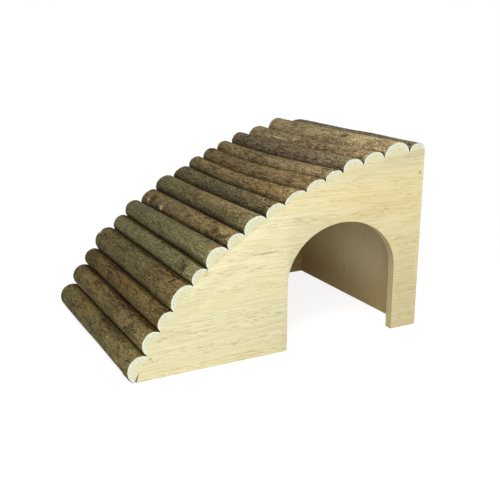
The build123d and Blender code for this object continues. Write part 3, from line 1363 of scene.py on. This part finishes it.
# ---------------------------------------------------------------- boards
@dataclass(frozen=True)
class Split:
    """A short split in the doorway side of a board, between two points of its face.

    The points are given along and above the floor, from the board's toe. At its depth the split
    has shrunk to the inner shares of its length and width.
    """

    start_mm: tuple[float, float]
    end_mm: tuple[float, float]
    width_mm: float
    depth_mm: float = 1.8
    proud_mm: float = 0.3
    inner_length: float = 0.8
    inner_width: float = 0.3

    def wedge(self, work: bmesh.types.BMesh, toe: Vector) -> None:
        """Adds the wedge that the split leaves open, its point inside the board.

        Args:
            work: The mesh under construction.
            toe: The board's lowest corner on the doorway side.
        """
        ends = (self.start_mm, self.end_mm)
        start, end = (toe + Vector((along, 0, above)) * MM for along, above in ends)
        middle, run = (start + end) / 2, (end - start) / 2
        side = Vector((-run.z, 0, run.x)).normalized() * self.width_mm * MM / 2
        mouth = (-self.proud_mm, 1, 1)
        bottom = (self.depth_mm, self.inner_length, self.inner_width)
        rings = []
        for inward_mm, length, width in (mouth, bottom):
            centre = middle + Vector((0, inward_mm * MM, 0))
            corners = (-run * length, -side * width, run * length, side * width)
            rings.append([work.verts.new(centre + corner) for corner in corners])
        outer, inner = rings
        work.faces.new(outer[::-1])
        work.faces.new(inner)
        for place in range(4):
            after = (place + 1) % 4
            work.faces.new((outer[place], outer[after], inner[after], inner[place]))


@dataclass(frozen=True)
class Board:
    """A plywood board: a side panel or the end wall.

    Its thickness lies along the axis given by through, 0 for X or 1 for Y. Its arrises are
    sanded, all but those under the rods and round the brads' holes.
    """

    node: str
    run: GrainRun
    through: int
    pale: Colour = colour(225, 219, 178)
    warm: Colour = colour(228, 212, 161)
    streak: Colour = colour(208, 187, 132)
    figure: float = 1.0
    splits: tuple[Split, ...] = ()
    arris_mm: float = 0.35
    shortest_arris_mm: float = 0.6
    sharp_deg: float = 40
    shown_sharp_deg: float = 28
    weld_mm: float = 0.002
    flat_deg: float = 0.4
    hole_reach_mm: float = 1.4
    rim_side_mm: float = 3.2
    face_normal: float = 0.9
    seat_normal_z: float = 0.3

    def is_face(self, normal: Vector) -> bool:
        """Whether a side of the board is one of its two veneered faces."""
        return abs(normal[self.through]) > self.face_normal

    def is_seat(self, normal: Vector) -> bool:
        """Whether a side of the board is a seat that a rod lies on."""
        return not self.is_face(normal) and normal.z > self.seat_normal_z

    def in_hole(self, edge: bmesh.types.BMEdge) -> bool:
        """Whether an edge belongs to the rim of a brad's hole.

        Args:
            edge: An edge of the board.

        Returns:
            True for a short edge near the line of the brads, the middle of the end wall.
        """
        low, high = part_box("end_wall")
        middle = sum((vertex.co for vertex in edge.verts), Vector()) / 2
        aside = abs(middle.x - (low.x + high.x) / 2)
        return aside < self.hole_reach_mm * MM and edge.calc_length() < self.rim_side_mm * MM

    def is_arris(self, edge: bmesh.types.BMEdge) -> bool:
        """Whether an edge is one that is sanded.

        Args:
            edge: An edge of the board.

        Returns:
            True for a sharp edge of a veneered face that lies free.
        """
        if len(edge.link_faces) != 2 or edge.calc_face_angle() <= radians(self.sharp_deg):
            return False
        if edge.calc_length() <= self.shortest_arris_mm * MM or self.in_hole(edge):
            return False
        normals = [face.normal for face in edge.link_faces]
        return any(map(self.is_face, normals)) and not any(map(self.is_seat, normals))

    def split_open(self, mesh: Mesh) -> Mesh:
        """Cuts the splits out of the board.

        Args:
            mesh: The board's mesh.

        Returns:
            A new mesh with the splits in it.
        """
        low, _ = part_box(self.node)
        work = bmesh.new()
        for split in self.splits:
            split.wedge(work, low)
        bmesh.ops.recalc_face_normals(work, faces=work.faces)
        wedges = bpy.data.meshes.new("wedges")
        work.to_mesh(wedges)
        work.free()
        blank, cutter = bpy.data.objects.new("blank", mesh), bpy.data.objects.new("cutter", wedges)
        for item in (blank, cutter):
            bpy.context.scene.collection.objects.link(item)
        cut = blank.modifiers.new("splits", "BOOLEAN")
        cut.object = cutter
        cut.operation = "DIFFERENCE"
        cut.solver = "EXACT"
        cut.use_self = True
        bpy.context.view_layer.update()
        graph = bpy.context.evaluated_depsgraph_get()
        opened = bpy.data.meshes.new_from_object(blank.evaluated_get(graph))
        opened.name = self.node + "_split"
        for item in (blank, cutter):
            bpy.data.objects.remove(item)
        return opened

    def materials(self) -> list[Material]:
        """Makes the board's finishes.

        Returns:
            The finish of its two faces, then that of its sawn edges.
        """
        low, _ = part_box(self.node)
        colours = (self.pale, self.warm, self.streak)
        faces = Veneer(self.node + "_veneer", self.run, *colours, self.figure)
        edges = PlyEdge(self.node + "_edge", self.through, low[self.through] / MM)
        return [faces.material(), edges.material()]

    def build(self, cad: Mesh) -> Piece:
        """Makes the board.

        Args:
            cad: The board's mesh in the frame.

        Returns:
            The piece.
        """
        work = bmesh.new()
        work.from_mesh(cad)
        bmesh.ops.remove_doubles(work, verts=work.verts, dist=self.weld_mm * MM)
        flat = radians(self.flat_deg)
        bmesh.ops.dissolve_limit(work, angle_limit=flat, verts=work.verts, edges=work.edges)
        work.normal_update()
        arrises = [edge for edge in work.edges if self.is_arris(edge)]
        bmesh.ops.bevel(
            work, geom=arrises, offset=self.arris_mm * MM, segments=2, profile=0.5, affect="EDGES"
        )
        mesh = bpy.data.meshes.new(self.node + "_plywood")
        work.to_mesh(mesh)
        work.free()
        if self.splits:
            mesh = self.split_open(mesh)
        for polygon in mesh.polygons:
            polygon.material_index = 0 if self.is_face(polygon.normal) else 1
            polygon.use_smooth = True
        mesh.set_sharp_from_angle(angle=radians(self.shown_sharp_deg))
        return new_piece(self.node + "_plywood", mesh, self.materials(), "plywood", self.node)


@dataclass(frozen=True)
class Carcass:
    """The two side panels and the end wall between them."""

    boards: tuple[Board, ...] = (
        Board(
            "front_panel",
            GrainRun.LEVEL,
            through=1,
            splits=(
                Split((-1.6, -5.4), (3.7, 7.0), 1.9, 5.2),
                Split((9.4, 12.2), (11.7, 13.5), 0.5),
                Split((10.9, 13.2), (11.8, 10.8), 0.45),
                Split((9.6, 11.9), (10.5, 11.0), 0.4),
                Split((47.3, 61.0), (45.1, 58.7), 0.9, 1.2),
                Split((71.0, 64.7), (97.0, 65.9), 0.55),
                Split((53.5, 66.8), (54.7, 67.3), 0.9),
                Split((96.0, 91.9), (98.2, 91.4), 0.35),
            ),
        ),
        Board(
            "rear_panel",
            GrainRun.LEVEL,
            through=1,
            pale=colour(232, 214, 168),
            warm=colour(220, 196, 148),
        ),
        Board(
            "end_wall",
            GrainRun.UPRIGHT,
            through=0,
            pale=colour(208, 191, 147),
            warm=colour(197, 178, 133),
            streak=colour(186, 162, 114),
            figure=0.45,
        ),
    )

    def build(self, nodes: dict[str, Piece]) -> list[Piece]:
        """Makes every board."""
        return [board.build(nodes[board.node].data) for board in self.boards]


# ---------------------------------------------------------------- brads
@dataclass(frozen=True)
class BradRow:
    """The brads that pin a side panel to the end wall, sunk and filled over.

    The panel's free face looks along +Y or -Y, as outward says with 1 or -1.
    """

    node: str
    outward: int
    count: int = 3
    sides: int = 24
    head_mm: float = 0.6
    head_taper_mm: float = 0.15
    sunk_mm: float = 0.25
    point_mm: float = 2.4
    shank_radius_mm: float = 0.6
    dish_mm: float = 0.1
    dish_share: float = 0.8
    hollow_share: float = 0.6
    filler_spread: float = 1.03
    filler_under_mm: float = 0.01
    sharp_deg: float = 40

    def places(self) -> list[Vector]:
        """Finds where the brads enter the panel.

        Returns:
            The middles of their holes on the panel's face, lowest first.
        """
        low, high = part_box(self.node)
        radius = (high.x - low.x) / 2
        face = low.y if self.outward < 0 else high.y
        bottom, top = low.z + radius, high.z - radius
        steps = [place / (self.count - 1) for place in range(self.count)]
        return [Vector((low.x + radius, face, bottom + step * (top - bottom))) for step in steps]

    def turn(self, work: bmesh.types.BMesh, place: Vector, profile: Profile) -> None:
        """Adds one closed turned shape, its axis along Y.

        Args:
            work: The mesh under construction.
            place: Where the axis meets the panel's face.
            profile: Radius and depth under the face of each ring, the first and last radius 0.
        """
        turns = [2 * pi * side / self.sides for side in range(self.sides)]
        rings = []
        for radius, depth in profile:
            ring = [(radius * np.cos(t), -self.outward * depth, radius * np.sin(t)) for t in turns]
            ring = ring if radius else ring[:1]
            rings.append([work.verts.new(place + Vector(spoke)) for spoke in ring])
        for first, second in zip(rings, rings[1:]):
            for side in range(self.sides):
                after = (side + 1) % self.sides
                corners = [first[side % len(first)], first[after % len(first)]]
                corners += [second[after % len(second)], second[side % len(second)]]
                work.faces.new(list(dict.fromkeys(corners)))

    def build(self) -> list[Piece]:
        """Makes the brads and the filler over them.

        Returns:
            The two pieces.
        """
        low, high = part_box(self.node)
        radius, length = (high.x - low.x) / 2, high.y - low.y
        sunk, dish, shank = self.sunk_mm * MM, self.dish_mm * MM, self.shank_radius_mm * MM
        neck = sunk + self.head_mm * MM / 2
        steel = [
            (0, sunk + dish),
            (radius * self.dish_share, sunk + dish / 2),
            (radius, sunk + dish),
            (radius, neck),
            (shank, neck + self.head_taper_mm * MM),
            (shank, length - self.point_mm * MM),
            (0, length),
        ]
        filler_radius = radius * self.filler_spread
        filler = [
            (0, dish),
            (radius * self.hollow_share, dish * 0.7),
            (filler_radius, self.filler_under_mm * MM),
            (filler_radius, sunk),
            (0, sunk),
        ]
        return [
            self.row_of(self.node + "_steel", steel, Steel().material(), "steel", self.node),
            self.row_of(self.node + "_filler", filler, Filler().material(), "plywood"),
        ]

    def row_of(
        self, name: str, profile: Profile, material: Material, slot: str, *nodes: str
    ) -> Piece:
        """Makes one turned shape at the place of each brad.

        Args:
            name: The piece's name.
            profile: Radius and depth under the face of each ring of the shape.
            material: Its finish.
            slot: A material slot's name, passed on to new_piece, which does not use it.
            nodes: The CAD nodes that it stands for.

        Returns:
            The piece.
        """
        work = bmesh.new()
        for place in self.places():
            self.turn(work, place, profile)
        bmesh.ops.recalc_face_normals(work, faces=work.faces)
        mesh = bpy.data.meshes.new(name)
        work.to_mesh(mesh)
        work.free()
        for polygon in mesh.polygons:
            polygon.use_smooth = True
        mesh.set_sharp_from_angle(angle=radians(self.sharp_deg))
        return new_piece(name, mesh, [material], slot, *nodes)


# ---------------------------------------------------------------- studio
@dataclass(frozen=True)
class SoftBox:
    """A square area lamp aimed at the house."""

    name: str
    place: tuple[float, float, float]
    side: float
    watts: float

    def build(self, aim: Vector) -> None:
        """Makes the lamp.

        Args:
            aim: The point that it faces.
        """
        data = bpy.data.lights.new(self.name, "AREA")
        data.shape = "SQUARE"
        data.size = self.side
        data.energy = self.watts
        lamp = bpy.data.objects.new(self.name, data)
        lamp.location = self.place
        lamp.rotation_euler = (aim - Vector(self.place)).to_track_quat("-Z", "Y").to_euler()
        bpy.context.scene.collection.objects.link(lamp)


@dataclass(frozen=True)
class Studio:
    """White sweep, soft lamps and the camera.

    The floor's glow makes it look nearly white, and its shown part keeps the house's shadow,
    as far as the shadow's reach.
    """

    camera_place: tuple[float, float, float] = (-0.22259, -0.45422, 0.19250)
    camera_turn_deg: tuple[float, float, float] = (73.994, 0.0, -27.503)
    lens: float = 55.349
    sensor_width: float = 36.0
    ambient: float = 0.28
    floor_side: float = 6.0
    shadow_reach: float = 0.17
    shown: Colour = (0.28, 0.28, 0.28, 1)
    glow: float = 0.86
    paper: tuple[Colour, Colour] = ((0.91, 0.91, 0.9, 1), (0.94, 0.94, 0.93, 1))
    white: Colour = (1, 1, 1, 1)
    boxes: tuple[SoftBox, ...] = (
        SoftBox("key_box", (-0.28, -0.55, 1.05), 0.3, 6.2),
        SoftBox("fill_box", (-0.50, -1.05, 0.85), 0.9, 8.2),
    )

    def build(self) -> None:
        """Sets the floor, the light, the camera and the view."""
        self.build_floor()
        self.build_world()
        low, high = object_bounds()
        for box in self.boxes:
            box.build((low + high) / 2)
        data = bpy.data.cameras.new("camera")
        data.lens = self.lens
        data.sensor_width = self.sensor_width
        camera = bpy.data.objects.new("camera", data)
        camera.location = self.camera_place
        camera.rotation_euler = [radians(turn) for turn in self.camera_turn_deg]
        bpy.context.scene.collection.objects.link(camera)
        bpy.context.scene.camera = camera
        bpy.context.scene.view_settings.view_transform = "Standard"

    def build_floor(self) -> None:
        """Lays the floor."""
        half = self.floor_side / 2
        corners = [(-half, -half, 0), (half, -half, 0), (half, half, 0), (-half, half, 0)]
        mesh = bpy.data.meshes.new("floor")
        mesh.from_pydata(corners, [], [(0, 1, 2, 3)])
        mesh.materials.append(self.floor_paper())
        floor = bpy.data.objects.new("floor", mesh)
        bpy.context.scene.collection.objects.link(floor)
        floor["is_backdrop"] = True

    def floor_paper(self) -> Material:
        """The floor's material.

        Returns:
            Plain paper for light that bounces, and for the camera a glow that fades to white.
        """
        made = bpy.data.materials.new("floor_paper")
        graph = NodeGraph(made)
        grain = graph.noise(graph.place, 0.02, 2)
        plain = graph.add("BsdfDiffuse", {"Color": graph.blend(grain, *self.paper)})
        shown = graph.add("BsdfDiffuse", {"Color": self.shown})
        glow = graph.add("Emission", {"Color": self.white, "Strength": self.glow})
        lit = graph.add("AddShader", {0: shown.outputs[0], 1: glow.outputs[0]})
        white = graph.add("Emission", {"Color": self.white, "Strength": 1.0})
        away = graph.length(graph.coordinates())
        far = graph.fade(away, self.shadow_reach, 2 * self.shadow_reach)
        sweep = graph.mixed_shader(far, lit.outputs[0], white.outputs[0])
        mixed = graph.mixed_shader(self.seen_directly(graph), plain.outputs[0], sweep)
        graph.add("OutputMaterial", {"Surface": mixed})
        return made

    def build_world(self) -> None:
        """Makes the surroundings: white where they are seen, a soft fill where they light."""
        world = bpy.data.worlds.new("sweep")
        bpy.context.scene.world = world
        graph = NodeGraph(world)
        fill = graph.add("Background", {"Color": self.white, "Strength": self.ambient})
        white = graph.add("Background", {"Color": self.white, "Strength": 1.0})
        mixed = graph.mixed_shader(self.seen_directly(graph), fill.outputs[0], white.outputs[0])
        graph.add("OutputWorld", {"Surface": mixed})

    @staticmethod
    def seen_directly(graph: NodeGraph) -> Socket:
        """Tells the rays that show a surface from those that only light the others.

        Args:
            graph: The nodes that ask.

        Returns:
            1 for rays from the camera and for those that gloss or glass passes on, else 0.
        """
        path = graph.add("LightPath").outputs
        seen = graph.math("MAXIMUM", path["Is Camera Ray"], path["Is Glossy Ray"])
        return graph.math("MAXIMUM", seen, path["Is Transmission Ray"])


def main() -> None:
    """Builds the house round the frame, then the studio."""
    logging.basicConfig(level=logging.INFO, format="%(name)s %(message)s")
    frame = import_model()
    nodes = frame["nodes"]
    Carcass().build(nodes)
    Roof().build(nodes)
    BradRow("wall_brads_front", outward=-1).build()
    BradRow("wall_brads_rear", outward=1).build()
    Studio().build()


if __name__ == "__main__":
    main()
